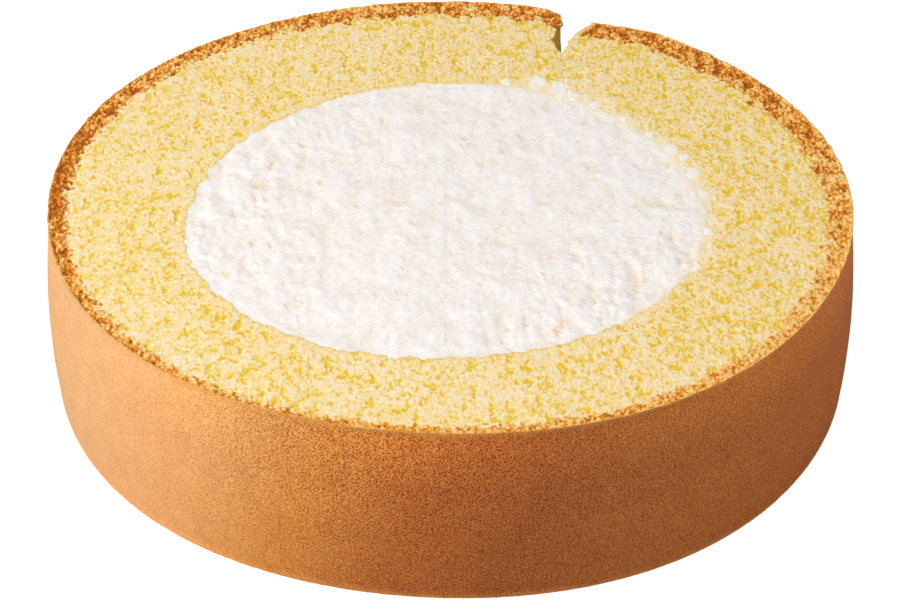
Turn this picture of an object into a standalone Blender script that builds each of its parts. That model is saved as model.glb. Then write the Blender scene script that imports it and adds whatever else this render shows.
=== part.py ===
"""Thick slice of a cream-filled cake roll, lying on one of its two cut faces.

One strip of sponge is bent round a core of whipped cream until its two ends meet at a seam. Near the cream
the ends all but touch, and further out they part into a wedge that is open at the browned skin. Both sponge
and cream run through the whole slice, from the lower cut face to the upper one.

Units are metres, with +Z up along the roll's axis. The origin is the middle of the lower cut face, and the
seam is at the back, on the +Y side.
"""

import math

import bmesh
import bpy

MM = 0.001

# Driving dimensions of the slice.
SLICE_HEIGHT = 20.0 * MM
ROLL_RADIUS = 42.5 * MM
CREAM_RADIUS = 26.6 * MM
CREAM_CENTRE = (-0.4 * MM, -3.7 * MM)
JOINT_GAP = 0.3 * MM

# A hand-rolled cake isn't quite round. Each wave is (waves round the outline, height, bearing of a crest).
ROLL_WAVES = ((2, 0.29 * MM, -45.0), (4, 0.10 * MM, 40.0), (5, 0.13 * MM, 10.0))
CREAM_WAVES = ((2, 0.31 * MM, 29.5), (3, 0.35 * MM, -28.0))

# The seam, in plan: where it leaves the cream, where its ends part, and the bearings of their outer corners.
SEAM_AT_CREAM = (11.9 * MM, 20.4 * MM)
SEAM_FORK = (13.1 * MM, 30.4 * MM)
LEFT_CORNER_DEG = 71.6
RIGHT_CORNER_DEG = 66.0
LEFT_FACE_BOW = 0.35 * MM
RIGHT_FACE_BOW = 0.90 * MM

# The strip's right end was pressed down, so its skin curls inwards over the last stretch. The left end's outer
# corner is only rounded.
CURL_DEPTH = 1.3 * MM
CURL_SPAN_DEG = 11.0
CORNER_DEPTH = 0.9 * MM
CORNER_SPAN_DEG = 3.2

# The browned side isn't upright: it bellies out below its upper edge, and its foot stands a little wider.
SIDE_BELLY = 0.64 * MM
SIDE_FOOT = 0.36 * MM
BELLY_LOWERING = 0.85
SIDE_LEVELS = 7

# The cream stands a little below the cut sponge, most of all at its rim.
CREAM_SINK = 0.15 * MM
CREAM_RIM_SINK = 0.55 * MM
CREAM_RIM_WIDTH = 6.0 * MM

OUTER_POINTS = 168
INNER_POINTS = 104
FACE_POINTS = 6
CREAM_STEPS = 104
CREAM_RINGS = 7


def clear_scene():
    """Removes whatever the scene holds, and the collections left empty by that."""
    for obj in list(bpy.data.objects):
        bpy.data.objects.remove(obj)
    for collection in list(bpy.data.collections):
        bpy.data.collections.remove(collection)


def material(name, colour, roughness):
    """A plain Principled BSDF material, not metallic."""
    made = bpy.data.materials.new(name)
    made.use_nodes = True
    shader = made.node_tree.nodes["Principled BSDF"]
    shader.inputs["Base Color"].default_value = (*colour, 1.0)
    shader.inputs["Roughness"].default_value = roughness
    shader.inputs["Metallic"].default_value = 0.0
    return made


def wavy_radius(angle, radius, waves):
    """The radius at an angle: a circle plus a cosine for each wave, with a crest at the wave's bearing."""
    swell = sum(height * math.cos(count * (angle - math.radians(crest))) for count, height, crest in waves)
    return radius + swell


def smooth_step(value):
    """0 below 0, 1 above 1, and an S-shaped rise between them."""
    value = min(max(value, 0.0), 1.0)
    return value * value * (3.0 - 2.0 * value)


def skin_point(degrees):
    """A point of the browned skin in plan, at a bearing from the left corner's to the right one's plus 360."""
    angle = math.radians(degrees)
    to_right_end = (RIGHT_CORNER_DEG + 360.0 - degrees) / CURL_SPAN_DEG
    from_left_end = (degrees - LEFT_CORNER_DEG) / CORNER_SPAN_DEG
    curl = CURL_DEPTH * (1.0 - smooth_step(to_right_end))
    rounding = CORNER_DEPTH * (1.0 - smooth_step(from_left_end))
    radius = wavy_radius(angle, ROLL_RADIUS, ROLL_WAVES) - curl - rounding
    return radius * math.cos(angle), radius * math.sin(angle)


def pocket_point(degrees):
    """A point of the strip's inner face in plan, one joint gap outside the cream."""
    angle = math.radians(degrees)
    radius = wavy_radius(angle, CREAM_RADIUS, CREAM_WAVES) + JOINT_GAP
    return CREAM_CENTRE[0] + radius * math.cos(angle), CREAM_CENTRE[1] + radius * math.sin(angle)


def bearing_from_cream(point):
    """The angle of a point in plan as seen from the cream's centre, in degrees."""
    return math.degrees(math.atan2(point[1] - CREAM_CENTRE[1], point[0] - CREAM_CENTRE[0]))


def bowed_line(start, end, bow, count):
    """Points after start and before end, on a line pushed to its left by a half sine of height bow."""
    along = (end[0] - start[0], end[1] - start[1])
    length = math.hypot(*along)
    left = (-along[1] / length, along[0] / length)
    points = []
    for step in range(1, count + 1):
        share = step / (count + 1)
        push = bow * math.sin(math.pi * share)
        points.append(tuple(start[i] + along[i] * share + left[i] * push for i in range(2)))
    return points


def sponge_outline():
    """The strip's outline in plan, once round: its skin, its right end, its inner face and its left end."""
    half_slit = 0.5 * JOINT_GAP
    fork_left = (SEAM_FORK[0] - half_slit, SEAM_FORK[1])
    fork_right = (SEAM_FORK[0] + half_slit, SEAM_FORK[1])
    seam_bearing = bearing_from_cream(SEAM_AT_CREAM)
    slit_share = math.degrees(half_slit / CREAM_RADIUS)
    skin_span = RIGHT_CORNER_DEG + 360.0 - LEFT_CORNER_DEG
    skin = [skin_point(LEFT_CORNER_DEG + skin_span * i / OUTER_POINTS) for i in range(OUTER_POINTS + 1)]
    pocket_span = 360.0 - 2.0 * slit_share
    first = seam_bearing - slit_share
    pocket = [pocket_point(first - pocket_span * i / INNER_POINTS) for i in range(INNER_POINTS + 1)]
    right_face = bowed_line(skin[-1], fork_right, -RIGHT_FACE_BOW, FACE_POINTS) + [fork_right]
    left_face = [fork_left] + bowed_line(fork_left, skin[0], -LEFT_FACE_BOW, FACE_POINTS)
    return centred(skin + right_face + pocket + left_face)


def outline_middle(points):
    """The middle of the box round some points in plan."""
    return tuple((min(p[i] for p in points) + max(p[i] for p in points)) / 2 for i in range(2))


def roll_middle():
    """How far the middle of the skin's box is from the waves' own centre."""
    return outline_middle([skin_point(LEFT_CORNER_DEG + 360.0 * i / OUTER_POINTS) for i in range(OUTER_POINTS)])


def centred(points):
    """The points moved so that the roll's box has its middle on the Z axis."""
    middle = roll_middle()
    return [(x - middle[0], y - middle[1]) for x, y in points]


def to_mesh_object(obj, name):
    """Replaces a curve or a modified object by a welded mesh object of the shape it shows."""
    graph = bpy.context.evaluated_depsgraph_get()
    mesh = bpy.data.meshes.new_from_object(obj.evaluated_get(graph))
    mesh.name = name
    work = bmesh.new()
    work.from_mesh(mesh)
    bmesh.ops.remove_doubles(work, verts=work.verts, dist=1e-6)
    bmesh.ops.recalc_face_normals(work, faces=work.faces)
    work.to_mesh(mesh)
    work.free()
    made = bpy.data.objects.new(name, mesh)
    made.matrix_world = obj.matrix_world
    bpy.data.objects.remove(obj)
    return made


def shade(obj, finish, sharp_degrees):
    """Gives an object its one material and smooth shading up to an angle."""
    obj.data.materials.clear()
    obj.data.materials.append(finish)
    obj.data.shade_smooth()
    obj.data.set_sharp_from_angle(angle=math.radians(sharp_degrees))


def side_swell(height_share):
    """How far the skin stands out at a share of the slice's height, 0 at the foot and 1 at the upper edge."""
    belly = SIDE_BELLY * math.sin(math.pi * height_share**BELLY_LOWERING)
    return belly + SIDE_FOOT * (1.0 - height_share)


def belly_out(obj):
    """Cuts the strip's sides at even levels, and pushes the skin out at each, less and less towards the fork."""
    work = bmesh.new()
    work.from_mesh(obj.data)
    for level in range(1, SIDE_LEVELS):
        cut = SLICE_HEIGHT * (level / SIDE_LEVELS - 0.5)
        everything = work.verts[:] + work.edges[:] + work.faces[:]
        bmesh.ops.bisect_plane(work, geom=everything, plane_co=(0.0, 0.0, cut), plane_no=(0.0, 0.0, 1.0))
    fork_reach = math.hypot(*SEAM_FORK)
    full_reach = ROLL_RADIUS - CURL_DEPTH
    for vertex in work.verts:
        reach = math.hypot(vertex.co.x, vertex.co.y)
        push = side_swell(vertex.co.z / SLICE_HEIGHT + 0.5)
        push *= smooth_step((reach - fork_reach) / (full_reach - fork_reach))
        vertex.co.x *= 1.0 + push / reach
        vertex.co.y *= 1.0 + push / reach
    work.to_mesh(obj.data)
    work.free()


def build_sponge(collection, finish):
    """The bent strip: its outline as a filled 2D curve, extruded to the slice's height and bellied out."""
    curve = bpy.data.curves.new("sponge", "CURVE")
    curve.dimensions = "2D"
    curve.fill_mode = "BOTH"
    curve.extrude = SLICE_HEIGHT / 2
    outline = sponge_outline()
    spline = curve.splines.new("POLY")
    spline.points.add(len(outline) - 1)
    for point, (x, y) in zip(spline.points, outline):
        point.co = (x, y, 0.0, 1.0)
    spline.use_cyclic_u = True
    drawn = bpy.data.objects.new("sponge_outline", curve)
    drawn.location.z = SLICE_HEIGHT / 2
    collection.objects.link(drawn)
    bpy.context.view_layer.update()
    sponge = to_mesh_object(drawn, "sponge")
    belly_out(sponge)
    collection.objects.link(sponge)
    shade(sponge, finish, 30.0)
    return sponge


def cream_profile():
    """Half the cream's cross-section, from the top of its axis out, down its side and back to the axis."""
    inner = CREAM_RADIUS - CREAM_RIM_WIDTH
    reach = [CREAM_RADIUS * (ring / CREAM_RINGS) for ring in range(CREAM_RINGS + 1)]
    rounding = [smooth_step((radius - inner) / CREAM_RIM_WIDTH) for radius in reach]
    sink = [CREAM_SINK + (CREAM_RIM_SINK - CREAM_SINK) * share for share in rounding]
    upper = [(radius, SLICE_HEIGHT - depth) for radius, depth in zip(reach, sink)]
    lower = [(radius, depth) for radius, depth in zip(reach, sink)]
    return upper + lower[::-1]


def build_cream(collection, finish):
    """The cream core: its half section turned round its own axis, then pushed out to its wavy outline."""
    profile = cream_profile()
    mesh = bpy.data.meshes.new("cream_profile")
    edges = [(i, i + 1) for i in range(len(profile) - 1)]
    mesh.from_pydata([(radius, 0.0, z) for radius, z in profile], edges, [])
    turned = bpy.data.objects.new("cream_profile", mesh)
    collection.objects.link(turned)
    screw = turned.modifiers.new("turn", "SCREW")
    screw.steps = CREAM_STEPS
    screw.render_steps = CREAM_STEPS
    screw.use_merge_vertices = True
    screw.merge_threshold = 1e-5
    bpy.context.view_layer.update()
    cream = to_mesh_object(turned, "cream")
    middle = roll_middle()
    for vertex in cream.data.vertices:
        angle = math.atan2(vertex.co.y, vertex.co.x)
        stretch = wavy_radius(angle, CREAM_RADIUS, CREAM_WAVES) / CREAM_RADIUS
        vertex.co.x = vertex.co.x * stretch + CREAM_CENTRE[0] - middle[0]
        vertex.co.y = vertex.co.y * stretch + CREAM_CENTRE[1] - middle[1]
    collection.objects.link(cream)
    shade(cream, finish, 40.0)
    return cream


def build():
    """Clears the scene and makes the slice's two pieces in a collection of their own."""
    clear_scene()
    collection = bpy.data.collections.new("swiss_roll_slice")
    bpy.context.scene.collection.children.link(collection)
    build_sponge(collection, material("sponge", (0.88, 0.72, 0.33), 0.85))
    build_cream(collection, material("whipped_cream", (0.90, 0.87, 0.83), 0.55))


build()
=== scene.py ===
"""Looks of a thick slice of cream-filled cake roll: open crumb, browned skin and whipped cream.

Every shape is a function of two parameters on a grid, worked out with numpy in millimetres and put into the mesh
in metres. The plan of the roll repeats the sizes of the CAD part, and check_plan() tests that against its box.
"""

import math

import bpy
import numpy as np
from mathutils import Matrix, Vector


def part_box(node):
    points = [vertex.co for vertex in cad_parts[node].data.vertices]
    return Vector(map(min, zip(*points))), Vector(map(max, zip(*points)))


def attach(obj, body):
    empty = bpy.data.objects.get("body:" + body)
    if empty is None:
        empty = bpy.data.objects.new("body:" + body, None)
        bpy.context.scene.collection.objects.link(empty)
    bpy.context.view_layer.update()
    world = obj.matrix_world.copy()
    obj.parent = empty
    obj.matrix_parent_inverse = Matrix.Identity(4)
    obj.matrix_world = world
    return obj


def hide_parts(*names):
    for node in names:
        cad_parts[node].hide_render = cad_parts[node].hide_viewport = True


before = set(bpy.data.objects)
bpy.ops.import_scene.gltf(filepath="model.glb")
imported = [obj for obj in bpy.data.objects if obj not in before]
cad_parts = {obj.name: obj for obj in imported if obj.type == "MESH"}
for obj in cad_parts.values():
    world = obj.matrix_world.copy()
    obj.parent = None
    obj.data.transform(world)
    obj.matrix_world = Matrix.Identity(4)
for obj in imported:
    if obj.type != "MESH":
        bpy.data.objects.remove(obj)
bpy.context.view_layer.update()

MM = 0.001
BODY = "root"

# --- Plan of the roll, in millimetres, as in the CAD part ------------------------------------------------------
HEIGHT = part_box("sponge")[1].z / MM
ROLL_RADIUS = 42.5
CREAM_RADIUS = 26.6
CREAM_CENTRE = (-0.4, -3.7)
JOINT_GAP = 0.3
ROLL_WAVES = ((2, 0.29, -45.0), (4, 0.10, 40.0), (5, 0.13, 10.0))
CREAM_WAVES = ((2, 0.31, 29.5), (3, 0.35, -28.0))
SEAM_AT_CREAM = (11.9, 20.4)
SEAM_FORK = (13.1, 30.4)
LEFT_CORNER_DEG = 71.6
RIGHT_CORNER_DEG = 66.0
LEFT_FACE_BOW = 0.35
RIGHT_FACE_BOW = 0.90
CURL_DEPTH = 1.3
CURL_SPAN_DEG = 11.0
CORNER_DEPTH = 0.9
CORNER_SPAN_DEG = 3.2
SIDE_BELLY = 0.64
SIDE_FOOT = 0.36
BELLY_LOWERING = 0.85
SIDE_LEVELS = 7
PLAN_TOLERANCE = 0.05

# --- Details of the cut faces, in millimetres, or as shares of the way from the cream to the skin ----------------
FORK_SHARE = 0.52
END_REACH = 0.035
STRIP_LENGTH = 2 * math.pi * 34.5
INNER_LENGTH = 2 * math.pi * CREAM_RADIUS
OUTER_LENGTH = 2 * math.pi * ROLL_RADIUS
CREAM_LAP = 1.1
EDGE_DROP = 0.50
EDGE_REACH = 1.0
CRUMB_STRETCH = 1.6
SEAM_SINK = 0.03
SEAM_REACH = 0.3
CHIP_DEPTH = 1.25
CHIP_END = 0.87
CHIP_BITE_AT = 0.68
CHIP_BITE_DEPTH = 0.35
CHIP_BITE_WIDTH = 0.022
CHIP_REACH = 2.6
CREAM_BITS = (
    (76.0, 1.1, 0.8), (69.0, 2.0, 1.3), (63.5, 1.7, 1.5), (59.5, 0.9, 1.2), (53.0, 0.6, 0.8), (44.0, 0.4, 0.7),
    (35.0, 0.5, 0.6), (27.0, 0.5, 1.2), (23.0, 1.0, 0.7), (16.0, 0.6, 1.1), (7.0, 0.3, 1.0), (-8.0, 0.3, 0.7),
    (-22.0, 0.3, 0.8),
)
STROKE_BEARING = 34.0
MAP_MARGIN = 0.004

# --- Grid sizes of the pieces ---------------------------------------------------------------------------------
CRUMB_COLUMNS = 2112
CRUMB_ROWS = 164
CRUMB_PIECES = 4
LOWER_COLUMNS = 1056
LOWER_ROWS = 84
SKIN_ROWS = 92
SKIN_PIECES = 2
FACE_ROWS = 170
CREAM_CELLS = 440
CREAM_PIECES = 2
CREAM_LOWER_CELLS = 240

SEED = 41


# --- Numpy tools ----------------------------------------------------------------------------------------------
def smooth_step(value):
    """0 below 0, 1 above 1, and an S-shaped rise between them."""
    value = np.clip(value, 0.0, 1.0)
    return value * value * (3.0 - 2.0 * value)


def chance(column, row, seed):
    """A steady number from 0 to 1 for each whole-number cell, from a mix of its column, row and seed."""
    mixed = (column * 374761393 + row * 668265263 + seed * 974634777) & 0xFFFFFFFF
    mixed = ((mixed ^ (mixed >> 13)) * 1274126177) & 0xFFFFFFFF
    mixed = ((mixed ^ (mixed >> 16)) * 2246822519 >> 3) & 0xFFFFFF
    return mixed / 0x1000000


def soft_noise(x, y, seed):
    """Noise of about -1 to 1 with one swell per unit: each cell corner has a slope of a random bearing, and an
    S-curve blends the heights that the four slopes give."""
    column, row = np.floor(x).astype(np.int64), np.floor(y).astype(np.int64)
    off_x, off_y = x - column, y - row
    heights = []
    for step_y in (0, 1):
        for step_x in (0, 1):
            bearing = 2 * math.pi * chance(column + step_x, row + step_y, seed)
            heights.append(np.cos(bearing) * (off_x - step_x) + np.sin(bearing) * (off_y - step_y))
    across, along = smooth_step(off_x), smooth_step(off_y)
    low = heights[0] * (1 - across) + heights[1] * across
    high = heights[2] * (1 - across) + heights[3] * across
    return 1.55 * (low * (1 - along) + high * along)


def layered_noise(x, y, seed, layers=3):
    """Noise of several sizes: each layer is turned, half as wide and half as strong as the one before it."""
    total, strength = 0.0, 0.0
    for layer in range(layers):
        scale, share = 2.0**layer, 0.5**layer
        turned_x = x * math.cos(layer) - y * math.sin(layer)
        turned_y = x * math.sin(layer) + y * math.cos(layer)
        total = total + share * soft_noise(turned_x * scale, turned_y * scale, seed + 17 * layer)
        strength += share * share
    return total / math.sqrt(strength)


def nearest_cells(x, y, spacing, seed):
    """(distance to the nearest scattered point, two chances of that point): one point in each square cell."""
    column, row = np.floor(x / spacing).astype(np.int64), np.floor(y / spacing).astype(np.int64)
    nearest = np.full(x.shape, 9.0 * spacing)
    first_chance, second_chance = np.zeros(x.shape), np.zeros(x.shape)
    for step_x in (-1, 0, 1):
        for step_y in (-1, 0, 1):
            at_x, at_y = column + step_x, row + step_y
            off_x = x - (at_x + chance(at_x, at_y, seed)) * spacing
            off_y = y - (at_y + chance(at_x, at_y, seed + 1)) * spacing
            distance = np.hypot(off_x, off_y)
            closer = distance < nearest
            nearest = np.where(closer, distance, nearest)
            first_chance = np.where(closer, chance(at_x, at_y, seed + 2), first_chance)
            second_chance = np.where(closer, chance(at_x, at_y, seed + 3), second_chance)
    return nearest, first_chance, second_chance


def pits(x, y, spacing, share, least, most, seed):
    """0 to 1 inside scattered hollows: a bowl at each point that its chance keeps, of its own radius."""
    distance, kept, size = nearest_cells(x, y, spacing, seed)
    radius = least + (most - least) * size * size
    bowl = smooth_step(1.25 - 1.25 * distance / radius)
    return np.where(kept < share, bowl, 0.0)


def lobe(degrees, middle, reach):
    """1 at a bearing and 0 from reach degrees away, with an S-shaped fall on both sides."""
    away = np.abs((degrees - middle + 180.0) % 360.0 - 180.0)
    return 1 - smooth_step(away / reach)


# --- Plan curves ----------------------------------------------------------------------------------------------
def wavy_radius(angle, radius, waves):
    """A circle's radius plus a cosine for each wave, with a crest at the wave's bearing."""
    return radius + sum(height * np.cos(count * (angle - math.radians(crest))) for count, height, crest in waves)


def skin_curve(degrees):
    """The browned skin's upper edge in plan by bearing. It curls inwards before its right end, and its left end's
    corner is rounded."""
    angle = np.radians(degrees)
    curl = CURL_DEPTH * (1.0 - smooth_step((RIGHT_CORNER_DEG + 360.0 - degrees) / CURL_SPAN_DEG))
    rounding = CORNER_DEPTH * (1.0 - smooth_step((degrees - LEFT_CORNER_DEG) / CORNER_SPAN_DEG))
    radius = wavy_radius(angle, ROLL_RADIUS, ROLL_WAVES) - curl - rounding
    return np.stack([radius * np.cos(angle), radius * np.sin(angle)], axis=-1)


def side_swell(height_share):
    """How far the side stands out at a share of the height: a belly, and a foot that fades upwards."""
    share = np.clip(height_share, 0.0, 1.0)
    return SIDE_BELLY * np.sin(math.pi * share**BELLY_LOWERING) + SIDE_FOOT * (1.0 - share)


def belly_out(place, z):
    """Places in plan at heights z pushed out by the side's swell, less and less towards the fork."""
    reach = np.linalg.norm(place, axis=-1)
    fork_reach = math.hypot(*SEAM_FORK)
    share = smooth_step((reach - fork_reach) / (ROLL_RADIUS - CURL_DEPTH - fork_reach))
    return place * (1.0 + share * side_swell(z / HEIGHT) / np.maximum(reach, 1.0))[..., None]


def pocket_curve(degrees, beyond):
    """The sponge's inner face in plan, by bearing from the cream's centre, pushed outwards by beyond."""
    angle = np.radians(degrees)
    radius = wavy_radius(angle, CREAM_RADIUS, CREAM_WAVES) + beyond
    return np.stack([radius * np.cos(angle), radius * np.sin(angle)], axis=-1) + CREAM_CENTRE


def plan_middle():
    """The middle of the skin's box, where the CAD part has its Z axis."""
    ring = skin_curve(np.linspace(LEFT_CORNER_DEG, LEFT_CORNER_DEG + 360.0, 721))
    return (ring.min(axis=0) + ring.max(axis=0)) / 2


MIDDLE = plan_middle()


def check_plan():
    """Stops the script if the plan's sizes no longer agree with the CAD part's box."""
    ring = skin_curve(np.linspace(LEFT_CORNER_DEG, LEFT_CORNER_DEG + 360.0, 721)) - MIDDLE
    rings = np.concatenate([belly_out(ring, HEIGHT * level / SIDE_LEVELS) for level in range(SIDE_LEVELS + 1)])
    low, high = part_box("sponge")
    expected = np.array([low.x, low.y, high.x, high.y]) / MM
    found = np.concatenate([rings.min(axis=0), rings.max(axis=0)])
    if np.abs(found - expected).max() > PLAN_TOLERANCE:
        raise ValueError(f"the plan {found} differs from the CAD part's box {expected}")


def seam_bearing():
    """The seam's bearing from the cream's centre, in degrees."""
    return math.degrees(math.atan2(SEAM_AT_CREAM[1] - CREAM_CENTRE[1], SEAM_AT_CREAM[0] - CREAM_CENTRE[0]))


def end_curve(share, corner, bow):
    """A strip's end in plan, from the cream (0) through the fork (FORK_SHARE) to the skin's corner (1): two lines,
    the outer one bowed by a half sine."""
    cream, fork = np.array(SEAM_AT_CREAM), np.array(SEAM_FORK)
    share = np.asarray(share, float)[..., None]
    near = cream + (fork - cream) * (share / FORK_SHARE)
    past = np.clip((share - FORK_SHARE) / (1.0 - FORK_SHARE), 0.0, 1.0)
    along = corner - fork
    side = np.array([-along[1], along[0]]) / np.linalg.norm(along)
    far = fork + along * past + side * bow * np.sin(math.pi * past)
    return np.where(share < FORK_SHARE, near, far)


def left_end(share):
    """The end whose skin reaches the seam from the left."""
    return end_curve(share, skin_curve(np.array(LEFT_CORNER_DEG)), -LEFT_FACE_BOW)


def right_end(share):
    """The end whose skin curls inwards, right of the seam."""
    return end_curve(share, skin_curve(np.array(RIGHT_CORNER_DEG + 360.0)), RIGHT_FACE_BOW)


def chipped(share):
    """How far the left end's upper edge is broken back, in mm: a long chip past the fork with a deeper bite."""
    past = np.clip((share - FORK_SHARE) / (CHIP_END - FORK_SHARE), 0.0, 1.0)
    bite = np.exp(-(((share - CHIP_BITE_AT) / CHIP_BITE_WIDTH) ** 2))
    return CHIP_DEPTH * np.sin(math.pi * past) ** 0.5 + CHIP_BITE_DEPTH * bite


def crumbled(share):
    """How far the right end's upper edge has crumbled away, in mm: unevenly, and only past the fork."""
    past = smooth_step((share - FORK_SHARE) / 0.10) * smooth_step((1.0 - share) / 0.03)
    return past * (0.25 + 0.35 * layered_noise(share * 26.0, share * 3.0, SEED + 600, 3))


def strip_plan(around, across, chip=0.0):
    """Places in plan on the cut strip: around runs 0 to 1 from its left end to its right one, and across 0 to 1
    from the cream to the skin. Straight rays join the pocket to the skin, and bend to the ends' curves near them.
    chip is how much of the left end's broken edge to take away."""
    inner = pocket_curve(seam_bearing() + 360.0 * around, JOINT_GAP)
    outer = skin_curve(LEFT_CORNER_DEG + (RIGHT_CORNER_DEG + 360.0 - LEFT_CORNER_DEG) * around)
    share = across[..., None]
    place = inner * (1 - share) + outer * share
    for end, near in ((left_end, 1 - around / END_REACH), (right_end, 1 - (1 - around) / END_REACH)):
        start, finish = end(np.zeros_like(across)), end(np.ones_like(across))
        bend = end(across) - start * (1 - share) - finish * share
        if end is left_end:
            bend = bend - np.stack([chip * chipped(across), np.zeros_like(across)], axis=-1)
        else:
            bend = bend + np.stack([chip * crumbled(across), np.zeros_like(across)], axis=-1)
        place = place + smooth_step(near)[..., None] * bend
    return place - MIDDLE


# --- Meshes ---------------------------------------------------------------------------------------------------
def grid_faces(columns, rows, turned=False):
    """Quads of a grid of (columns + 1) by (rows + 1) points, stored column by column, or turned to face the other
    way."""
    column, row = np.meshgrid(np.arange(columns), np.arange(rows), indexing="ij")
    first = (column * (rows + 1) + row).ravel()
    quads = np.stack([first, first + rows + 1, first + rows + 2, first + 1], axis=1)
    return quads[:, ::-1] if turned else quads


def shelf_map(columns, rows, shelves, turned=False):
    """A bake map for a long band, corner by corner as grid_faces has them: the band is cut into equal lengths,
    which lie on shelves one above another in the square."""
    column, row = np.meshgrid(np.arange(columns), np.arange(rows), indexing="ij")
    column, row = column.ravel(), row.ravel()
    length = -(-columns // shelves)
    corners = []
    for step_column, step_row in ((0, 0), (1, 0), (1, 1), (0, 1)):
        along = (column % length + step_column) / length
        up = (row + step_row) / rows
        u = MAP_MARGIN + (1 - 2 * MAP_MARGIN) * along
        v = (column // length) / shelves + MAP_MARGIN + (1 / shelves - 2 * MAP_MARGIN) * up
        corners.append(np.stack([u, v], axis=-1))
    corners = np.stack(corners, axis=1)
    return corners[:, ::-1].reshape(-1, 2) if turned else corners.reshape(-1, 2)


def make_piece(name, points_mm, columns, rows, shelves, turned, attributes, node, finish):
    """A mesh object from a grid of points in millimetres, with its bake map and its per-point attributes, that
    rides on the body and stands for a CAD node."""
    points = points_mm.reshape(-1, 3)
    faces = grid_faces(columns, rows, turned)
    mesh = bpy.data.meshes.new(name)
    mesh.vertices.add(len(points))
    mesh.vertices.foreach_set("co", (points * MM).astype(np.float32).ravel())
    mesh.loops.add(faces.size)
    mesh.loops.foreach_set("vertex_index", faces.astype(np.int32).ravel())
    mesh.polygons.add(len(faces))
    mesh.polygons.foreach_set("loop_start", np.arange(0, faces.size, 4, dtype=np.int32))
    mesh.update(calc_edges=True)
    mesh.polygons.foreach_set("use_smooth", np.ones(len(faces), bool))
    for label, values in attributes.items():
        layer = mesh.attributes.new(label, "FLOAT", "POINT")
        layer.data.foreach_set("value", np.asarray(values, np.float32).ravel())
    layer = mesh.uv_layers.new(name="OFBake")
    layer.data.foreach_set("uv", shelf_map(columns, rows, shelves, turned).astype(np.float32).ravel())
    piece = bpy.data.objects.new(name, mesh)
    bpy.context.scene.collection.objects.link(piece)
    mesh.materials.append(finish)
    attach(piece, BODY)
    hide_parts(node)
    return piece


# --- Relief of the sponge -------------------------------------------------------------------------------------
def crumb_relief(x, y, seed):
    """(height, hollow) of torn crumb. Noises of five sizes add up, so that pale lumps of all sizes stand beside yellow
    hollows; where the middling ones add up high, gaps with sharp edges open, and here and there a round bubble.
    height is in mm and below 0, and hollow goes from 0 on the lumps to 1 in the gaps. The deeper gold that hollow
    brings is painted shade, for light that bounces inside the crumb."""
    y = y / CRUMB_STRETCH
    tiny = soft_noise(x / 0.23, y / 0.23, seed + 10)
    fine = soft_noise(x / 0.42, y / 0.42, seed + 20)
    middling = soft_noise(x / 0.88, y / 0.88, seed + 30)
    coarse = layered_noise(x / 2.0, y / 2.0, seed + 40, 2)
    swell = layered_noise(x / 6.0, y / 6.0, seed + 50, 2)
    depth = 1.7 * (1.05 * tiny + 1.00 * fine + 0.90 * middling + 0.45 * coarse + 0.25 * swell)
    gaps = smooth_step((middling + 0.60 * fine + 0.40 * tiny + 0.50 * coarse - 0.40) / 0.34)
    warp = 0.12 * middling
    bubbles = pits(x + warp, y + warp, 2.6, 0.30, 0.18, 0.50, seed + 60)
    height = -0.24 - 0.012 * depth + 0.05 * swell - 0.05 * gaps - 0.11 * bubbles
    # Painted shade: the colour deepens to a darker gold where the relief sinks.
    hollow = smooth_step(0.46 + 0.185 * depth) + 0.22 * gaps + 0.40 * bubbles
    return height, hollow


def crust_relief(x, y, seed):
    """(height, hollow) of baked crumb by the skin: round grains of all sizes up to half a millimetre, with dark gaps
    between them. The dark of the gaps is painted shade, and so, in part, is the darker colour where the mottle sinks."""
    y = y / CRUMB_STRETCH
    warp_x = x + 0.14 * layered_noise(x / 0.5, y / 0.5, seed + 70, 2)
    warp_y = y + 0.14 * layered_noise(x / 0.5, y / 0.5, seed + 80, 2)
    distance, lump, _ = nearest_cells(warp_x, warp_y, 0.44, seed + 90)
    mottle = layered_noise(x / 1.0, y / 1.0, seed + 95, 3)
    grain = smooth_step(1.15 - distance / 0.33) * (0.30 + 0.70 * lump)
    height = 0.26 * grain + 0.16 * mottle - 0.38
    # Painted shade: darker in the gaps between grains and, in part, where the mottle sinks.
    hollow = 0.68 - 0.55 * grain - 0.70 * mottle
    return height, hollow


def crust_width(x, y, seed):
    """How far the browning reaches in from the skin, in mm: least at the front, most at the back, and ragged."""
    angle = np.arctan2(y, x)
    width = 2.35 + 1.25 * np.cos(angle - math.radians(62.0)) + 0.38 * lobe(np.degrees(angle), -160.0, 50.0)
    return width * (1 + 0.28 * layered_noise(x / 1.9, y / 1.9, seed + 100, 3)) - 0.05


def rim_jag(around, x, y):
    """How far the browned rim's grains stand out or in, in mm, fading to none at the strip's two ends."""
    jag = 0.10 * layered_noise(x / 0.45, y / 0.45, SEED + 130, 2) + 0.16 * layered_noise(x / 1.6, y / 1.6, SEED + 135, 2)
    bearing = np.degrees(np.arctan2(y, x))
    return jag * (0.3 + 0.7 * lobe(bearing, 70.0, 130.0)) * smooth_step(OUTER_LENGTH * np.minimum(around, 1 - around) / 1.5)


def push_out(place, amount):
    """Places in plan moved away from the middle by amount."""
    return place * (1.0 + amount / np.maximum(np.linalg.norm(place, axis=-1), 1.0))[..., None]


def browning(x, y, inward, seed):
    """1 in the baked crust and 0 in the crumb, with a mottled border and specks just inside it, from the distance
    inward of the skin."""
    width = crust_width(x, y, seed)
    border = layered_noise(x / 0.5, y / 0.6, seed + 110, 3)
    crust = smooth_step(0.5 + (width + 0.75 * border - inward) / 0.5)
    specks = pits(x, y, 1.1, 0.30, 0.07, 0.24, seed + 120) * smooth_step(1.4 - (inward - width) / 1.8)
    return np.maximum(crust, 0.60 * specks)


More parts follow.
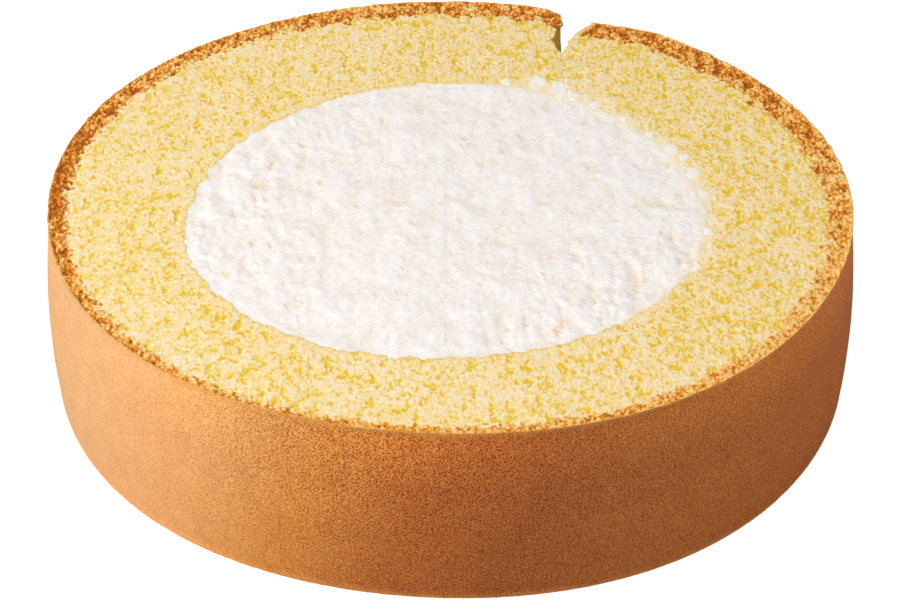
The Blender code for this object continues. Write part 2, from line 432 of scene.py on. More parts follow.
def toasting(x, y):
    """How dark the baked crust is by bearing: deep caramel on the left, brown at the back, golden elsewhere."""
    bearing = np.degrees(np.arctan2(y, x))
    brown = 0.30 * lobe(bearing, 174.0, 36.0) + 0.06 * lobe(bearing, 60.0, 80.0)
    return brown - 0.20 * lobe(bearing, -28.0, 48.0) - 0.04


# --- Where the sponge meets the cream -------------------------------------------------------------------------
def cream_bearing(x, y):
    """The bearing from the cream's centre, in degrees, of places in plan."""
    from_middle = np.stack([x, y], axis=-1) + MIDDLE - CREAM_CENTRE
    return np.degrees(np.arctan2(from_middle[..., 1], from_middle[..., 0]))


def spilling(x, y):
    """How much the cream is smeared over the crumb: most by the seam and on the right."""
    bearing = cream_bearing(x, y)
    return np.maximum(0.8 * lobe(bearing, 8.0, 75.0), lobe(bearing, 60.0, 26.0))


def edge_shift(x, y):
    """How far the cream's edge runs outside the pocket's curve, in mm: ragged, and further where it is smeared."""
    ragged = 0.30 * layered_noise(x / 1.9, y / 1.9, SEED + 300, 2) + 0.16 * layered_noise(x / 0.6, y / 0.6, SEED + 310, 2)
    return ragged + 0.20 * spilling(x, y)


def dabs(x, y):
    """0 to 1 on the bits of cream left on the crumb: each lies at its own bearing and distance past the edge."""
    warp_x = x + 0.35 * layered_noise(x / 0.8, y / 0.8, SEED + 320, 2)
    warp_y = y + 0.35 * layered_noise(x / 0.8, y / 0.8, SEED + 325, 2)
    total = np.zeros_like(x)
    for bearing, beyond, size in CREAM_BITS:
        at_x, at_y = pocket_curve(np.array(bearing), JOINT_GAP + beyond) - MIDDLE
        distance = np.hypot(warp_x - at_x, (warp_y - at_y) / CRUMB_STRETCH)
        total = np.maximum(total, smooth_step(1.5 - 1.5 * distance / size))
    return total


# --- Sponge ---------------------------------------------------------------------------------------------------
def cut_surface(around, across, seed, chip, upper):
    """(x, y, z, attributes) of a cut face of the strip. Its crumb turns to crust by the skin and dips under the
    cream by the pocket, and a faint crease marks where its two ends touch."""
    place = strip_plan(around, across, chip)
    x, y = place[..., 0], place[..., 1]
    outer = strip_plan(around[:, :1], np.ones_like(around[:, :1]), 0.0)
    inner = strip_plan(around[:, :1], np.zeros_like(around[:, :1]), 0.0)
    breadth = np.linalg.norm(outer - inner, axis=-1)
    inward = breadth * (1 - across)
    from_edge = breadth * across - edge_shift(x, y)
    spill = spilling(x, y)
    height, hollow = crumb_relief(x, y, seed)
    bearing = np.degrees(np.arctan2(y, x))
    hollow = 0.46 + (hollow - 0.46) * (1 - 0.12 * lobe(bearing, 180.0, 90.0) + 0.22 * lobe(bearing, 5.0, 90.0))
    baked_height, baked_hollow = crust_relief(x, y, seed)
    calm = 0.70 * lobe(bearing, -68.0, 115.0)
    baked_height = baked_height + (-0.20 - baked_height) * calm
    baked_hollow = baked_hollow + (0.32 - baked_hollow) * calm
    dark = 0.55 * lobe(bearing, 174.0, 40.0)
    baked_hollow = baked_hollow + (0.52 - baked_hollow) * dark
    brown = browning(x, y, inward, seed)
    if upper:
        brown = brown * smooth_step((OUTER_LENGTH * (1 - around) - 0.2 + 0.3 * layered_noise(x / 0.6, y / 0.6, seed + 140, 2)) / 0.5)
    height = height + (baked_height - height) * brown
    hollow = hollow + 0.08 * lobe(bearing, 10.0, 120.0) - 0.03 * lobe(bearing, -90.0, 60.0)
    hollow = hollow + (baked_hollow - hollow) * brown
    # Painted highlight: a lighter orange line along the crumb's outer edge, where the rounded edge catches the light.
    rim = 1 - smooth_step((inward - 0.14) / 0.14)
    height = height * (1 - 0.6 * rim) - 0.03 * rim
    near = 1 - smooth_step(from_edge / 1.5)
    height = height + (-0.25 - height) * (0.35 + 0.35 * spill) * near
    # Painted shade: a darker golden line in the crumb where it meets the cream, strongest where no cream spills over.
    border = 1 - smooth_step(np.abs(from_edge - 0.10) / 0.42)
    hollow = hollow * (1 - 0.35 * near) + (0.02 + 0.48 * (1 - spill)) * border
    soaked = lobe(cream_bearing(x, y), 80.0, 42.0) * (1 - smooth_step((from_edge - 0.4) / 3.0))
    hollow = hollow + (0.62 - hollow) * 0.65 * soaked
    dab = dabs(x, y)
    height = height + (-0.14 - height) * 0.6 * dab
    reach = 0.45 + 2.4 * spill + 2.2 * lobe(cream_bearing(x, y), 52.0, 36.0) + 1.4 * layered_noise(x / 1.4, y / 1.4, seed + 230, 3) * (0.2 + 0.8 * spill)
    smear = np.minimum(0.16 + 1.1 * spill, 1.0) * (1 - smooth_step(from_edge / np.maximum(reach, 0.1)))
    patches = smooth_step(0.62 + 0.75 * layered_noise(x / 0.55, y / 0.7, seed + 240, 3))
    smear = smear * (1 - 0.75 * (1 - patches) * smooth_step((from_edge + 0.1) / 0.5))
    height = height - EDGE_DROP * smooth_step(-from_edge / EDGE_REACH)
    length = (INNER_LENGTH + (OUTER_LENGTH - INNER_LENGTH) * across) * np.minimum(around, 1 - around)
    height = height - SEAM_SINK * (1 - smooth_step(length / SEAM_REACH)) * smooth_step((across - 0.25) / 0.2)
    fall = np.maximum(-height, 0.01)
    z = HEIGHT - fall if upper else fall
    place = belly_out(place, z)
    if upper:
        place = push_out(place, rim_jag(around, x, y) * (1 - smooth_step(inward / 0.8)))
    attributes = {
        "hollow": np.clip(hollow, 0.0, 1.0),
        "browning": brown,
        "smear": smear,
        "dab": dab,
        "toast": toasting(x, y),
        "rim": rim,
    }
    return place[..., 0], place[..., 1], z, attributes


def build_crumb(name, columns, rows, first, last, upper, finish):
    """A stretch of the strip's cut face, from just under the cream to the skin."""
    around = (np.arange(first, last + 1) / columns)[:, None]
    lap = CREAM_LAP / (ROLL_RADIUS - CREAM_RADIUS)
    across = np.linspace(-lap, 1.0, rows + 1)[None, :]
    around, across = np.broadcast_arrays(around, across)
    seed, chip = (SEED, 1.0) if upper else (SEED + 1000, 0.0)
    x, y, z, attributes = cut_surface(around, across, seed, chip, upper)
    points = np.stack([x, y, z], axis=-1)
    return make_piece(name, points, last - first, rows, 2, upper, attributes, "sponge", finish)


def edge_levels(around, across):
    """The heights of the upper and the lower cut face at given places."""
    upper = cut_surface(around, across, SEED, 1.0, True)[2]
    lower = cut_surface(around, across, SEED + 1000, 0.0, False)[2]
    return upper, lower


def build_skin(name, first, last, finish):
    """A stretch of the browned skin: along the strip's outside, and up from the lower cut face to the upper one,
    with faint dents and its edges meeting the crumb's."""
    around = (np.arange(first, last + 1) / CRUMB_COLUMNS)[:, None]
    up = np.linspace(0.0, 1.0, SKIN_ROWS + 1)[None, :]
    upper, lower = edge_levels(around, np.ones_like(around))
    around, up = np.broadcast_arrays(around, up)
    z = lower + (upper - lower) * up
    flat = strip_plan(around, np.ones_like(up))
    place = belly_out(flat, z)
    place = push_out(place, rim_jag(around, flat[..., 0], flat[..., 1]) * (1 - smooth_step((upper - z) / 1.0)))
    length = around * OUTER_LENGTH
    from_edge = np.minimum(z - lower, upper - z)
    dents = 0.05 * (1.3 - layered_noise(length / 9.0, z / 6.0, SEED + 400, 2))
    dents = dents + 0.012 * (1.3 - layered_noise(length / 0.6, z / 0.6, SEED + 410, 2))
    outward = place / np.linalg.norm(place, axis=-1, keepdims=True)
    place = place - outward * (np.maximum(dents, 0.0) * smooth_step(from_edge / 0.8))[..., None]
    points = np.concatenate([place, z[..., None]], axis=-1)
    bearing = np.degrees(np.arctan2(place[..., 1], place[..., 0]))
    # Partly real uneven browning, partly painted light and shade: lightest on the left, where the lamp's light falls,
    # and darkest near the front, where that light gives out, along a line that tilts with the height.
    baked_and_lit_tone = np.clip(np.minimum((bearing + 155.0 - 0.5 * z) / 130.0, (175.0 - bearing) / 85.0), 0.0, 1.0)
    attributes = {
        # Painted light along the skin's upper and lower edges: a lighter orange line where the upper edge catches the
        # light, and at the foot a glow of light thrown back by the table.
        "edge": 1 - smooth_step(from_edge / (0.7 + 0.5 * layered_noise(length / 3.0, z / 3.0, SEED + 420, 2))),
        "baked_and_lit_tone": baked_and_lit_tone,
        # Painted light: the upper band of the side, which tilts up towards the lamp, is made lighter.
        "painted_top_light": smooth_step((z - 12.5) / 6.5) * (1 - lobe(bearing, -153.0, 47.0)) * (1 - 0.85 * lobe(bearing, -112.0, 18.0)),
        "grainy": 0.28 + 0.72 * smooth_step(1.8 * baked_and_lit_tone),
        "porous": (0.22 + 0.78 * lobe(bearing, -98.0, 44.0)) * (0.45 + 0.55 * smooth_step(z / HEIGHT)),
    }
    return make_piece(name, points, last - first, SKIN_ROWS, 3, False, attributes, "sponge", finish)


def build_end_face(name, at_left, finish):
    """One of the strip's two end faces, from just inside the fork out to the skin, and up between the cut faces,
    with crumb relief pushed into the sponge. The left one's upper edge is chipped back, and the left one is
    painted a darker gold and partly brown: painted shade on the face that turns away from the lamp."""
    first = int(FORK_SHARE * CRUMB_ROWS) - 10
    across = (np.arange(first, CRUMB_ROWS + 1) / CRUMB_ROWS)[:, None]
    around = np.full_like(across, 0.0 if at_left else 1.0)
    up = np.linspace(0.0, 1.0, FACE_ROWS + 1)[None, :]
    upper, lower = edge_levels(around, across)
    around, across, up = np.broadcast_arrays(around, across, up)
    z = lower + (upper - lower) * up
    place = strip_plan(around, across)
    edge = strip_plan(around, across, 1.0)
    lean = (1 - smooth_step((HEIGHT - z) / CHIP_REACH))[..., None]
    place = place + (edge - place) * lean
    along = np.gradient(strip_plan(around, across), axis=0)
    along /= np.linalg.norm(along, axis=-1, keepdims=True)
    turn = 1.0 if at_left else -1.0
    into = np.stack([-along[..., 1], along[..., 0]], axis=-1) * turn
    inward = (1 - across) * 20.0
    seed = SEED + (700 if at_left else 800)
    height, hollow = crumb_relief(inward, z, seed)
    height = 1.6 * height
    from_edge = np.minimum(np.minimum(z - lower, upper - z) / 0.5, (1 - across) / 0.03)
    place = belly_out(place + into * (-height * smooth_step(from_edge))[..., None], z)
    points = np.concatenate([place, z[..., None]], axis=-1)
    brown = browning(place[..., 0] + z, place[..., 1], inward * 2.2, seed)
    attributes = {
        # Painted shade: the left end face, turned away from the lamp, is made a darker gold and partly brown.
        "hollow": np.clip(hollow + (0.60 if at_left else 0.1), 0.0, 1.0),
        "browning": np.maximum(brown, 0.25 if at_left else 0.0),
        "smear": np.zeros_like(hollow),
        "dab": np.zeros_like(hollow),
        "toast": np.full_like(hollow, 0.2),
        "rim": np.zeros_like(hollow),
    }
    columns = CRUMB_ROWS - first
    return make_piece(name, points, columns, FACE_ROWS, 1, not at_left, attributes, "sponge", finish)


# --- Cream ----------------------------------------------------------------------------------------------------
def disc_plan(cells, first, last):
    """(radius share, angle) on the columns first to last of a square grid bent to a disc, ring by ring, so that no
    cell is a sliver."""
    line = np.linspace(-1.0, 1.0, cells + 1)
    a, b = np.meshgrid(line[first : last + 1], line, indexing="ij")
    ring = np.maximum(np.abs(a), np.abs(b))
    wide = np.abs(a) >= np.abs(b)
    safe_a, safe_b = np.where(a == 0, 1e-9, a), np.where(b == 0, 1e-9, b)
    angle_a = (math.pi / 4) * (b / safe_a) + np.where(a < 0, math.pi, 0.0)
    angle_b = math.pi / 2 - (math.pi / 4) * (a / safe_b) + np.where(b < 0, math.pi, 0.0)
    return ring, np.where(wide, angle_a, angle_b)


def cream_relief(x, y, seed):
    """(height in mm, hollow 0 to 1) of whipped cream cut by a blade: slow swells, lumps that are strongest by the left
    rim and at the right front, strokes along the blade's way, a few soft creases and shallow pits. hollow is painted
    light and shade: low on the lumps and high in the pits and creases."""
    stroke = math.radians(STROKE_BEARING)
    along = x * math.cos(stroke) + y * math.sin(stroke)
    across = -x * math.sin(stroke) + y * math.cos(stroke)
    bend = layered_noise(x / 5.0, y / 5.0, seed + 10, 2)
    swell = layered_noise(x / 8.0, y / 8.0, seed + 20, 2)
    turned = np.degrees(np.arctan2(y - CREAM_CENTRE[1], x - CREAM_CENTRE[0]))
    reach = np.hypot(x - CREAM_CENTRE[0], y - CREAM_CENTRE[1]) / CREAM_RADIUS
    rough = 0.35 + 0.65 * smooth_step(reach * 1.6 - 0.5) * np.maximum(0.85 * lobe(turned, 165.0, 80.0), lobe(turned, -40.0, 70.0))
    broad = layered_noise(x / 3.4, (y + bend) / 4.0, seed + 25, 2)
    lumps = layered_noise(x / 1.5, (y + bend) / 2.5, seed + 30, 2)
    tufts = layered_noise(x / 0.70, y / 1.15, seed + 35, 2)
    fibres = layered_noise(along / 1.2, (across + 0.5 * bend) / 0.42, seed + 40, 2)
    warp = 0.35 * layered_noise(x / 0.8, y / 0.8, seed + 58, 2)
    bubbles = pits(x + warp, (y - warp) / 1.9, 2.2, 0.50, 0.28, 0.72, seed + 60)
    small = pits(x + warp, y / 1.7, 1.2, 0.22, 0.12, 0.33, seed + 70)
    line = np.abs(layered_noise(x / 3.0, y / 3.0, seed + 80, 2))
    creases = (1 - smooth_step(line / 0.13)) * smooth_step((layered_noise(x / 4.2, y / 4.2, seed + 85, 2) - 0.12) / 0.3)
    height = 0.11 * swell + 0.10 * broad + 0.15 * rough * lumps + (0.012 + 0.03 * rough) * tufts + 0.014 * fibres
    pitted = 0.25 + 0.75 * rough
    height = height - pitted * (0.08 * bubbles + 0.03 * small) - 0.035 * creases
    # Painted light and shade: paler on the lumps and broad swells, beige in the pits and creases.
    hollow = 0.04 + pitted * (0.85 * bubbles + 0.40 * small) + 0.35 * creases - 0.40 * rough * lumps - 0.22 * broad
    return height - 0.28, np.clip(hollow, 0, 1)


def build_cream(name, cells, first, last, upper, finish):
    """The cream's surface: columns first to last of a disc with its relief, whose rim dips under the crumb."""
    seed = SEED + 500 if upper else SEED + 1500
    ring, angle = disc_plan(cells, first, last)
    pocket = pocket_curve(np.degrees(angle), JOINT_GAP) - CREAM_CENTRE
    pocket_reach = np.linalg.norm(pocket, axis=-1)
    reach = ring * (pocket_reach + CREAM_LAP)
    place = pocket * (reach / pocket_reach)[..., None] + CREAM_CENTRE - MIDDLE
    x, y = place[..., 0], place[..., 1]
    height, hollow = cream_relief(x, y, seed)
    from_edge = reach - pocket_reach - edge_shift(x, y)
    near = 1 - smooth_step(-from_edge / 1.2)
    height = height + (-0.25 - height) * 0.7 * near
    smear = (0.12 + 0.88 * spilling(x, y)) * (1 - smooth_step((-from_edge - 0.1) / 1.3))
    height = height - EDGE_DROP * smooth_step(from_edge / EDGE_REACH)
    height = np.minimum(height, -0.02)
    z = HEIGHT + height if upper else -height
    points = np.stack([x, y, z], axis=-1)
    attributes = {"hollow": hollow, "smear": smear}
    return make_piece(name, points, last - first, cells, 1, not upper, attributes, "cream", finish)


# --- Materials ------------------------------------------------------------------------------------------------
def new_material(name):
    """(material, its nodes, its links, its Principled BSDF)."""
    made = bpy.data.materials.new(name)
    made.use_nodes = True
    tree = made.node_tree
    return made, tree.nodes, tree.links, tree.nodes["Principled BSDF"]


def set_inputs(shader, **values):
    """Sets a shader's sockets by name, with underscores for spaces."""
    for label, value in values.items():
        shader.inputs[label.replace("_", " ")].default_value = value


def feed(links, source, socket):
    """Links an output to a socket, or sets the socket to a number or a colour."""
    if isinstance(source, bpy.types.NodeSocket):
        links.new(source, socket)
    elif isinstance(source, tuple):
        socket.default_value = (*source, 1.0)
    else:
        socket.default_value = source


def calculate(nodes, links, operation, *values, clamp=False):
    """A Math node's output from sockets or numbers."""
    node = nodes.new("ShaderNodeMath")
    node.operation = operation
    node.use_clamp = clamp
    for socket, value in zip(node.inputs, values):
        feed(links, value, socket)
    return node.outputs["Value"]


def mix_colours(nodes, links, factor, first, second, blend="MIX"):
    """A colour mix of two outputs or colours, by an output or a number."""
    mix = nodes.new("ShaderNodeMix")
    mix.data_type = "RGBA"
    mix.blend_type = blend
    feed(links, factor, mix.inputs[0])
    feed(links, first, mix.inputs[6])
    feed(links, second, mix.inputs[7])
    return mix.outputs[2]


def ramp_colour(nodes, links, factor, stops):
    """The colour along stops of (place, (r, g, b)) for an output from 0 to 1."""
    ramp = nodes.new("ShaderNodeValToRGB")
    elements = ramp.color_ramp.elements
    while len(elements) < len(stops):
        elements.new(0.5)
    for element, (place, colour) in zip(elements, stops):
        element.position = place
        element.color = (*colour, 1.0)
    links.new(factor, ramp.inputs["Fac"])
    return ramp.outputs["Color"]


def read_attribute(nodes, label):
    """The value of a per-point attribute."""
    node = nodes.new("ShaderNodeAttribute")
    node.attribute_name = label
    return node.outputs["Fac"]


def object_place(nodes):
    """Object coordinates."""
    return nodes.new("ShaderNodeTexCoord").outputs["Object"]


def noise_value(nodes, links, place, scale, detail=2.0, roughness=0.55):
    """A noise texture's value."""
    noise = nodes.new("ShaderNodeTexNoise")
    set_inputs(noise, Scale=scale, Detail=detail, Roughness=roughness)
    links.new(place, noise.inputs["Vector"])
    return noise.outputs["Fac"]


def grain_group():
    """A node group: a fine grain of mixed sizes. Place, Scale and Contrast in, and out a Value about 0 that is
    within half the contrast."""
    group = bpy.data.node_groups.new("fine_grain", "ShaderNodeTree")
    group.interface.new_socket("Place", in_out="INPUT", socket_type="NodeSocketVector")
    group.interface.new_socket("Scale", in_out="INPUT", socket_type="NodeSocketFloat")
    group.interface.new_socket("Contrast", in_out="INPUT", socket_type="NodeSocketFloat")
    group.interface.new_socket("Value", in_out="OUTPUT", socket_type="NodeSocketFloat")
    nodes, links = group.nodes, group.links
    taken, given = nodes.new("NodeGroupInput"), nodes.new("NodeGroupOutput")
    noise = nodes.new("ShaderNodeTexNoise")
    set_inputs(noise, Detail=2.0, Roughness=0.7)
    links.new(taken.outputs["Place"], noise.inputs["Vector"])
    links.new(taken.outputs["Scale"], noise.inputs["Scale"])
    centred = calculate(nodes, links, "SUBTRACT", noise.outputs["Fac"], 0.5)
    stretched = calculate(nodes, links, "MULTIPLY", centred, taken.outputs["Contrast"])
    links.new(stretched, given.inputs["Value"])
    return group


def grain(nodes, links, group, place, scale, contrast):
    """The output of a placed grain group."""
    node = nodes.new("ShaderNodeGroup")
    node.node_tree = group
    links.new(place, node.inputs["Place"])
    node.inputs["Scale"].default_value = scale
    node.inputs["Contrast"].default_value = contrast
    return node.outputs["Value"]


def roughen(nodes, links, shader, height, strength, distance):
    """Bumps a shader's surface by an output."""
    bump = nodes.new("ShaderNodeBump")
    bump.inputs["Strength"].default_value = strength
    bump.inputs["Distance"].default_value = distance
    links.new(height, bump.inputs["Height"])
    links.new(bump.outputs["Normal"], shader.inputs["Normal"])


# Crumb colours: its own pale yellow on the lumps, deepening to a darker gold in the gaps, which is painted shade for
# light that bounces inside the crumb.
CRUMB_COLOURS = (
    (0.0, (0.93, 0.775, 0.56)),
    (0.15, (0.92, 0.735, 0.44)),
    (0.50, (0.90, 0.68, 0.30)),
    (0.82, (0.87, 0.61, 0.12)),
    (1.0, (0.81, 0.52, 0.015)),
)
CRUST_COLOURS = (
    (0.0, (0.93, 0.62, 0.23)),
    (0.30, (0.86, 0.41, 0.078)),
    (0.62, (0.69, 0.225, 0.014)),
    (1.0, (0.38, 0.090, 0.004)),
)
# Colour of the painted highlight along the crumb's outer edge.
PAINTED_RIM_HIGHLIGHT = (0.90, 0.42, 0.085)
SMEAR_COLOUR = (0.99, 0.835, 0.61)
DAB_COLOUR = (0.985, 0.885, 0.80)


def crumb_material(group):
    """Torn crumb: pale on its lumps and golden in its gaps, baked brown by the skin, and smeared by the cream. The gold
    of the gaps and of the fine grain's dips and the dark of the crust's crevices are painted shade, and the orange
    line along the rim is a painted highlight.
    """
    made, nodes, links, shader = new_material("crumb")
    stretch = nodes.new("ShaderNodeMapping")
    stretch.vector_type = "TEXTURE"
    stretch.inputs["Scale"].default_value = (1.0, CRUMB_STRETCH, 1.0)
    links.new(object_place(nodes), stretch.inputs["Vector"])
    place = stretch.outputs["Vector"]
    speck = grain(nodes, links, group, place, 5200.0, 1.1)
    grains = nodes.new("ShaderNodeTexVoronoi")
    set_inputs(grains, Scale=2500.0, Detail=1.0, Roughness=0.6)
    links.new(place, grains.inputs["Vector"])
    # Painted shade: the fine grain turns golden where its bump sinks, between the grains and in the dips of the speck.
    between = calculate(nodes, links, "MULTIPLY_ADD", grains.outputs["Distance"], 0.80, -0.665)
    texture = calculate(nodes, links, "ADD", between, speck)
    hollow = calculate(nodes, links, "ADD", read_attribute(nodes, "hollow"), texture)
    pale = ramp_colour(nodes, links, hollow, CRUMB_COLOURS)
    cells = nodes.new("ShaderNodeTexVoronoi")
    cells.inputs["Scale"].default_value = 3000.0
    links.new(place, cells.inputs["Vector"])
    # Painted shade in the crevices between the crust's grains.
    painted_crevice_shade = calculate(nodes, links, "MULTIPLY_ADD", cells.outputs["Distance"], 1.1, -0.52)
    darker = calculate(nodes, links, "ADD", hollow, read_attribute(nodes, "toast"))
    darker = calculate(nodes, links, "ADD", darker, painted_crevice_shade)
    baked = ramp_colour(nodes, links, darker, CRUST_COLOURS)
    colour = mix_colours(nodes, links, read_attribute(nodes, "browning"), pale, baked)
    # Painted highlight along the crumb's outer edge.
    rim = calculate(nodes, links, "MULTIPLY", read_attribute(nodes, "rim"), 0.35)
    colour = mix_colours(nodes, links, rim, colour, PAINTED_RIM_HIGHLIGHT)
    smeared = calculate(nodes, links, "MULTIPLY", read_attribute(nodes, "smear"), 0.92)
    colour = mix_colours(nodes, links, smeared, colour, SMEAR_COLOUR)
    colour = mix_colours(nodes, links, read_attribute(nodes, "dab"), colour, DAB_COLOUR)
    links.new(colour, shader.inputs["Base Color"])
    raised = calculate(nodes, links, "MULTIPLY", texture, -1.0)
    roughen(nodes, links, shader, raised, 0.19, 0.00012)
    set_inputs(shader, Roughness=0.75, Specular_IOR_Level=0.2)
    set_inputs(shader, Subsurface_Weight=0.6, Subsurface_Radius=(1.0, 0.8, 0.3), Subsurface_Scale=0.0005)
    return made


# Skin colours along the bearing: partly real uneven browning, partly painted light on the left and painted shade at the
# front, where the lamp's light gives out.
SKIN_BAKED_AND_LIT_TONES = (
    (0.0, (0.89, 0.475, 0.20)),
    (0.08, (0.90, 0.440, 0.175)),
    (0.19, (0.91, 0.415, 0.135)),
    (0.31, (0.82, 0.300, 0.056)),
    (0.42, (0.63, 0.172, 0.031)),
    (0.54, (0.515, 0.136, 0.028)),
    (0.65, (0.57, 0.165, 0.035)),
    (0.77, (0.65, 0.182, 0.036)),
    (1.0, (0.72, 0.185, 0.034)),
)
# Tint of the painted light on the skin's upper band.
PAINTED_TOP_LIGHT_TINT = (1.34, 1.40, 1.24)
# Painted shade inside the skin's pores.
SKIN_PORE_SHADE = (0.41, 0.24, 0.16)
# Colour of the painted light along the skin's edges.
PAINTED_EDGE_LIGHT = (0.90, 0.42, 0.10)


def skin_material(group):
    """Baked skin: smooth and dull, with a fine mottle. Its colour runs from peach on its left to brown on its right,
    partly real uneven browning and partly painted light and shade: lighter on the left, where the lamp's light falls,
    and darkest at the front, where that light gives out. Its upper band is lighter by painted light, its upper and
    lower edges carry a painted lighter orange line, and its pores are darkened by painted shade."""
    made, nodes, links, shader = new_material("baked_skin")
    place = object_place(nodes)
    colour = ramp_colour(nodes, links, read_attribute(nodes, "baked_and_lit_tone"), SKIN_BAKED_AND_LIT_TONES)
    # Painted light on the upper band of the skin.
    painted_top_light = calculate(nodes, links, "MULTIPLY", read_attribute(nodes, "painted_top_light"), 0.8)
    lighter = mix_colours(nodes, links, 1.0, colour, PAINTED_TOP_LIGHT_TINT, "MULTIPLY")
    colour = mix_colours(nodes, links, painted_top_light, colour, lighter)
    blotches = noise_value(nodes, links, place, 420.0, 4.0, 0.7)
    shade = ramp_colour(nodes, links, blotches, ((0.32, (0.95, 0.92, 0.86)), (0.68, (1.03, 1.05, 1.08))))
    colour = mix_colours(nodes, links, 1.0, colour, shade, "MULTIPLY")
    mottle = noise_value(nodes, links, place, 7800.0, 1.0, 0.7)
    shade = ramp_colour(nodes, links, mottle, ((0.34, (0.59, 0.33, 0.16)), (0.63, (1.27, 1.64, 2.0))))
    colour = mix_colours(nodes, links, read_attribute(nodes, "grainy"), colour, shade, "MULTIPLY")
    porous = read_attribute(nodes, "porous")
    depth = 0.0
    # Pores, darkened with painted shade where they sink into the skin.
    for scale, start, end, strength in ((5600.0, 0.27, 0.45, 1.0), (2900.0, 0.22, 0.32, 0.9)):
        pores = nodes.new("ShaderNodeTexVoronoi")
        pores.inputs["Scale"].default_value = scale
        links.new(place, pores.inputs["Vector"])
        dots = ramp_colour(nodes, links, pores.outputs["Distance"], ((start, (strength,) * 3), (end, (0.0,) * 3)))
        dots = calculate(nodes, links, "MULTIPLY", dots, porous)
        inside = mix_colours(nodes, links, 1.0, colour, SKIN_PORE_SHADE, "MULTIPLY")
        colour = mix_colours(nodes, links, dots, colour, inside)
        depth = calculate(nodes, links, "SUBTRACT", depth, dots)
    # Painted light along the skin's upper and lower edges.
    edge = calculate(nodes, links, "MULTIPLY", read_attribute(nodes, "edge"), 0.4)
    colour = mix_colours(nodes, links, edge, colour, PAINTED_EDGE_LIGHT)
    links.new(colour, shader.inputs["Base Color"])
    texture = calculate(nodes, links, "ADD", depth, grain(nodes, links, group, place, 3600.0, 1.6))
    roughen(nodes, links, shader, texture, 0.35, 0.00006)
    set_inputs(shader, Roughness=0.6, Specular_IOR_Level=0.22)
    return made


def cream_material(group):
    """Whipped cream: warm white, beige and a little yellow inside its hollows, with fine strokes all one way. The beige
    and yellow of the hollows are painted shade, and the strokes carry painted shade in their grooves and painted
    light on their ridges.
    """
    made, nodes, links, shader = new_material("whipped_cream")
    colour = ramp_colour(nodes, links, read_attribute(nodes, "hollow"), CREAM_COLOURS)
    smeared = calculate(nodes, links, "MULTIPLY", read_attribute(nodes, "smear"), 0.85)
    colour = mix_colours(nodes, links, smeared, colour, SMEAR_COLOUR)
    turn = nodes.new("ShaderNodeMapping")
    turn.vector_type = "TEXTURE"
    turn.inputs["Rotation"].default_value = (0.0, 0.0, math.radians(STROKE_BEARING))
    turn.inputs["Scale"].default_value = (0.0011, 0.00030, 0.0006)
    place = object_place(nodes)
    links.new(place, turn.inputs["Vector"])
    strokes = noise_value(nodes, links, turn.outputs["Vector"], 1.0, 3.0, 0.65)
    # Painted light and shade along the strokes: darker and warmer where their bump sinks, lighter where it rises.
    shade = ramp_colour(nodes, links, strokes, ((0.30, (0.942, 0.915, 0.89)), (0.62, (1.03, 1.043, 1.055))))
    links.new(mix_colours(nodes, links, 1.0, colour, shade, "MULTIPLY"), shader.inputs["Base Color"])
    texture = calculate(nodes, links, "ADD", strokes, grain(nodes, links, group, place, 2600.0, 0.8))
    roughen(nodes, links, shader, texture, 0.42, 0.00012)
    set_inputs(shader, Roughness=0.5)
    set_inputs(shader, Subsurface_Weight=0.4, Subsurface_Radius=(1.0, 0.9, 0.75), Subsurface_Scale=0.0005)
    return made


# Cream colours along the painted shade of its hollows: warm white, then beige, then a little yellow.
CREAM_COLOURS = (
    (0.0, (0.99, 0.915, 0.885)),
    (0.35, (0.945, 0.835, 0.73)),
    (1.0, (0.90, 0.735, 0.49)),
)


# --- Studio ---------------------------------------------------------------------------------------------------
MODEL_MIDDLE = Vector((0.0, 0.0, HEIGHT * MM / 2))
CAMERA_TARGET = Vector((0.0, -0.00180, 0.00718))
CAMERA_ELEVATION = 33.77
CAMERA_DISTANCE = 0.2975
CAMERA_LENS = 110.2
WARM_WHITE = (1.0, 0.985, 0.965)


def from_bearing(bearing, elevation, distance):
    """The place at a bearing from +X, an elevation, both in degrees, and a distance from the slice's middle."""
    turn, rise = math.radians(bearing), math.radians(elevation)
    level = math.cos(rise)
    return MODEL_MIDDLE + distance * Vector((math.cos(turn) * level, math.sin(turn) * level, math.sin(rise)))


def place_aimed(name, data, place, target):
    """A camera or light at a place, looking at a target with its upper side up."""
    obj = bpy.data.objects.new(name, data)
    obj.location = place
    obj.rotation_euler = (target - place).to_track_quat("-Z", "Y").to_euler()
    bpy.context.scene.collection.objects.link(obj)
    return obj


def add_camera():
    """A long lens above the table's edge, with the slice filling the frame."""
    data = bpy.data.cameras.new("camera")
    data.sensor_width = 36.0
    data.lens = CAMERA_LENS
    data.clip_start = 0.01
    place = from_bearing(-90.0, CAMERA_ELEVATION, CAMERA_DISTANCE)
    bpy.context.scene.camera = place_aimed("camera", data, place, CAMERA_TARGET)


def add_light(name, bearing, elevation, distance, size, power, colour):
    """A square area light that looks at the slice."""
    data = bpy.data.lights.new(name, "AREA")
    data.size = size
    data.energy = power
    data.color = colour
    place_aimed(name, data, from_bearing(bearing, elevation, distance), MODEL_MIDDLE)


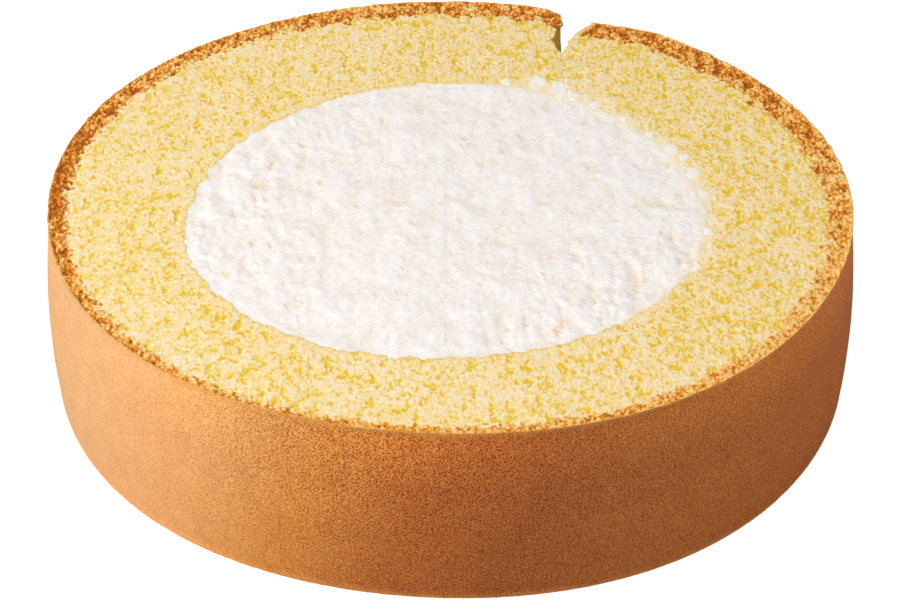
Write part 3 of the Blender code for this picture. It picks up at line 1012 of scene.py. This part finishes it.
def add_floor():
    """A plain white table, bright to the camera and greyer to the slice, so that it throws back little light."""
    bpy.ops.mesh.primitive_plane_add(size=6.0, location=(0.0, 0.0, -0.00002))
    floor = bpy.context.object
    floor.name = "floor"
    made, nodes, links, shader = new_material("table_white")
    glow = nodes.new("ShaderNodeEmission")
    glow.inputs["Strength"].default_value = 0.90
    set_inputs(shader, Base_Color=(0.40, 0.39, 0.38, 1.0), Roughness=0.9)
    both = nodes.new("ShaderNodeAddShader")
    links.new(shader.outputs[0], both.inputs[0])
    links.new(glow.outputs[0], both.inputs[1])
    choose = nodes.new("ShaderNodeMixShader")
    links.new(nodes.new("ShaderNodeLightPath").outputs["Is Camera Ray"], choose.inputs[0])
    links.new(shader.outputs[0], choose.inputs[1])
    links.new(both.outputs[0], choose.inputs[2])
    links.new(choose.outputs[0], nodes["Material Output"].inputs["Surface"])
    floor.data.materials.append(made)


def add_studio():
    """Soft light from the left, a weak fill from the right, and a pale surround that the camera sees as white."""
    add_light("key", -152.0, 43.0, 0.50, 0.44, 2.74, (1.0, 1.0, 1.0))
    add_light("fill", -25.0, 25.0, 0.70, 0.50, 0.9, WARM_WHITE)
    world = bpy.data.worlds.new("surround")
    bpy.context.scene.world = world
    world.use_nodes = True
    nodes, links = world.node_tree.nodes, world.node_tree.links
    pale = nodes["Background"]
    pale.inputs["Color"].default_value = (*WARM_WHITE, 1.0)
    pale.inputs["Strength"].default_value = 0.318
    seen = nodes.new("ShaderNodeBackground")
    seen.inputs["Color"].default_value = (1.0, 1.0, 1.0, 1.0)
    choose = nodes.new("ShaderNodeMixShader")
    links.new(nodes.new("ShaderNodeLightPath").outputs["Is Camera Ray"], choose.inputs[0])
    links.new(pale.outputs[0], choose.inputs[1])
    links.new(seen.outputs[0], choose.inputs[2])
    links.new(choose.outputs[0], nodes["World Output"].inputs["Surface"])
    bpy.context.scene.view_settings.view_transform = "Standard"


# --- Assembly -------------------------------------------------------------------------------------------------
def build():
    """Makes every piece, the studio and the camera."""
    check_plan()
    group = grain_group()
    crumb = crumb_material(group)
    for number in range(CRUMB_PIECES):
        first, last = (CRUMB_COLUMNS * step // CRUMB_PIECES for step in (number, number + 1))
        build_crumb(f"crumb_upper_{number + 1}", CRUMB_COLUMNS, CRUMB_ROWS, first, last, True, crumb)
    build_crumb("crumb_lower", LOWER_COLUMNS, LOWER_ROWS, 0, LOWER_COLUMNS, False, crumb)
    skin = skin_material(group)
    for number in range(SKIN_PIECES):
        first, last = (CRUMB_COLUMNS * step // SKIN_PIECES for step in (number, number + 1))
        build_skin(f"skin_{number + 1}", first, last, skin)
    build_end_face("end_face_left", True, crumb)
    build_end_face("end_face_right", False, crumb)
    cream = cream_material(group)
    for number in range(CREAM_PIECES):
        first, last = (CREAM_CELLS * step // CREAM_PIECES for step in (number, number + 1))
        build_cream(f"cream_upper_{number + 1}", CREAM_CELLS, first, last, True, cream)
    build_cream("cream_lower", CREAM_LOWER_CELLS, 0, CREAM_LOWER_CELLS, False, cream)
    add_floor()
    add_studio()
    add_camera()


build()
